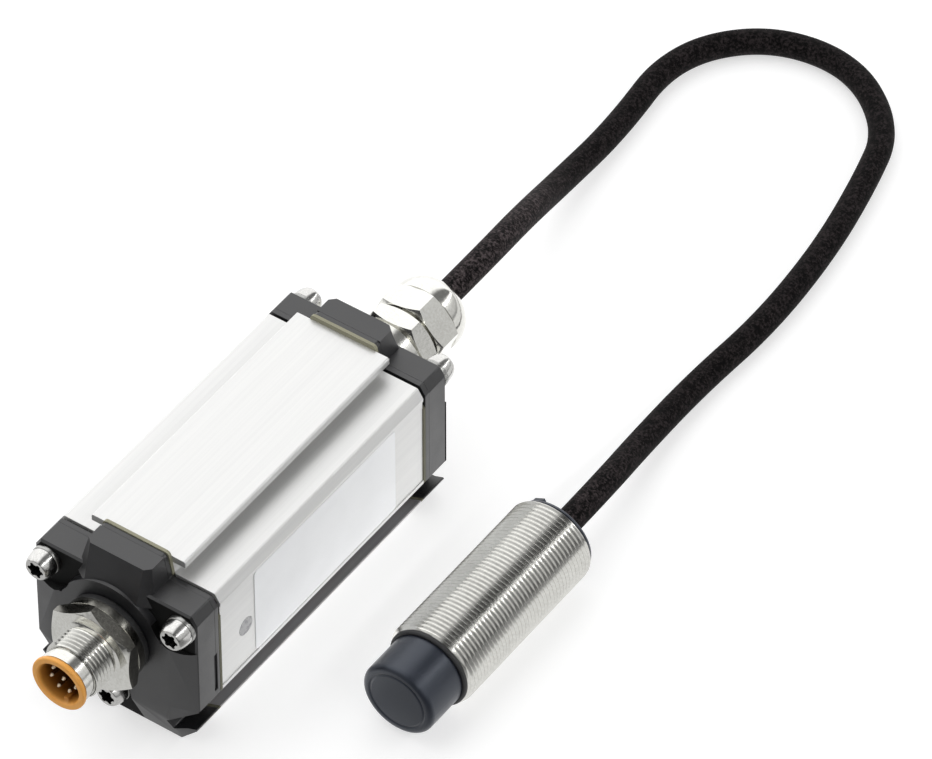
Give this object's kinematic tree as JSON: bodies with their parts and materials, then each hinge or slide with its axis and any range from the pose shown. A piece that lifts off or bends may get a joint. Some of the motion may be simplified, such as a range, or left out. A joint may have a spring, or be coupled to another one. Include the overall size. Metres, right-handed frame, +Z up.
{
  "type": "capacitive proximity sensor",
  "caption": "Remote capacitive sensor: a flat-based aluminium amplifier with plastic end caps, a round plug and a cable gland, joined by a cable to a threaded cylindrical sensing head.",
  "frame": {"origin": "centre of the housing's underside, on the surface that the housing, the cable and the head lie on", "axes": "+Z up, +Y along the housing from the plug to the cable gland, +X towards the sensing head"},
  "size_m": [0.072, 0.2336, 0.0384],
  "materials": {
    "housing": "satin, fine lengthwise streaks",
    "gasket": "matte",
    "cap_plastic": "fine moulded grain",
    "steel": "bright",
    "washer_steel": "satin",
    "seal_rubber": "matte",
    "nickel": "nickel plate on brass, satin",
    "insert_plastic": "semi-matte",
    "gold": "bright",
    "lead_insulation": "matte",
    "cable_jacket": "matte, slightly fibrous",
    "board": "gloss",
    "header_plastic": "matte",
    "component_plastic": "semi-gloss",
    "lamp_lens": "clear",
    "clear_window": "clear",
    "foil": "matte bluish gray",
    "head_plastic": "semi-matte",
    "copper": "satin",
    "resin": "gloss"
  },
  "bodies": {
    "root": {"housing_profile": "housing", "front_gasket": "gasket", "rear_gasket": "gasket", "front_seal_plate": "cap_plastic", "rear_seal_plate": "cap_plastic", "front_cap": "cap_plastic", "rear_cap": "cap_plastic", "front_cap_screws": "steel", "rear_cap_screws": "steel", "front_lock_washers": "washer_steel", "rear_lock_washers": "washer_steel", "connector_seal": "seal_rubber", "gland_gasket": "seal_rubber", "head_seal_ring": "seal_rubber", "gland_bush": "seal_rubber", "connector_shell": "nickel", "connector_locknut": "nickel", "gland_locknut": "nickel", "gland_body": "nickel", "gland_nut": "nickel", "sensor_barrel": "nickel", "connector_insert": "insert_plastic", "connector_carrier": "insert_plastic", "connector_pins": "gold", "connector_leads": "lead_insulation", "cable_entry": "cable_jacket", "cable": "cable_jacket", "head_cable_tail": "cable_jacket", "circuit_board": "board", "head_board": "board", "plug_header": "header_plastic", "cable_header": "header_plastic", "board_components": "component_plastic", "status_led": "lamp_lens", "led_window": "clear_window", "side_foil": "foil", "sensing_cap": "head_plastic", "barrel_plug": "head_plastic", "cable_bush": "seal_rubber", "sensing_electrode": "copper", "guard_ring": "copper", "electrode_spacer": "header_plastic", "head_potting": "resin"}
  },
  "joints": []
}
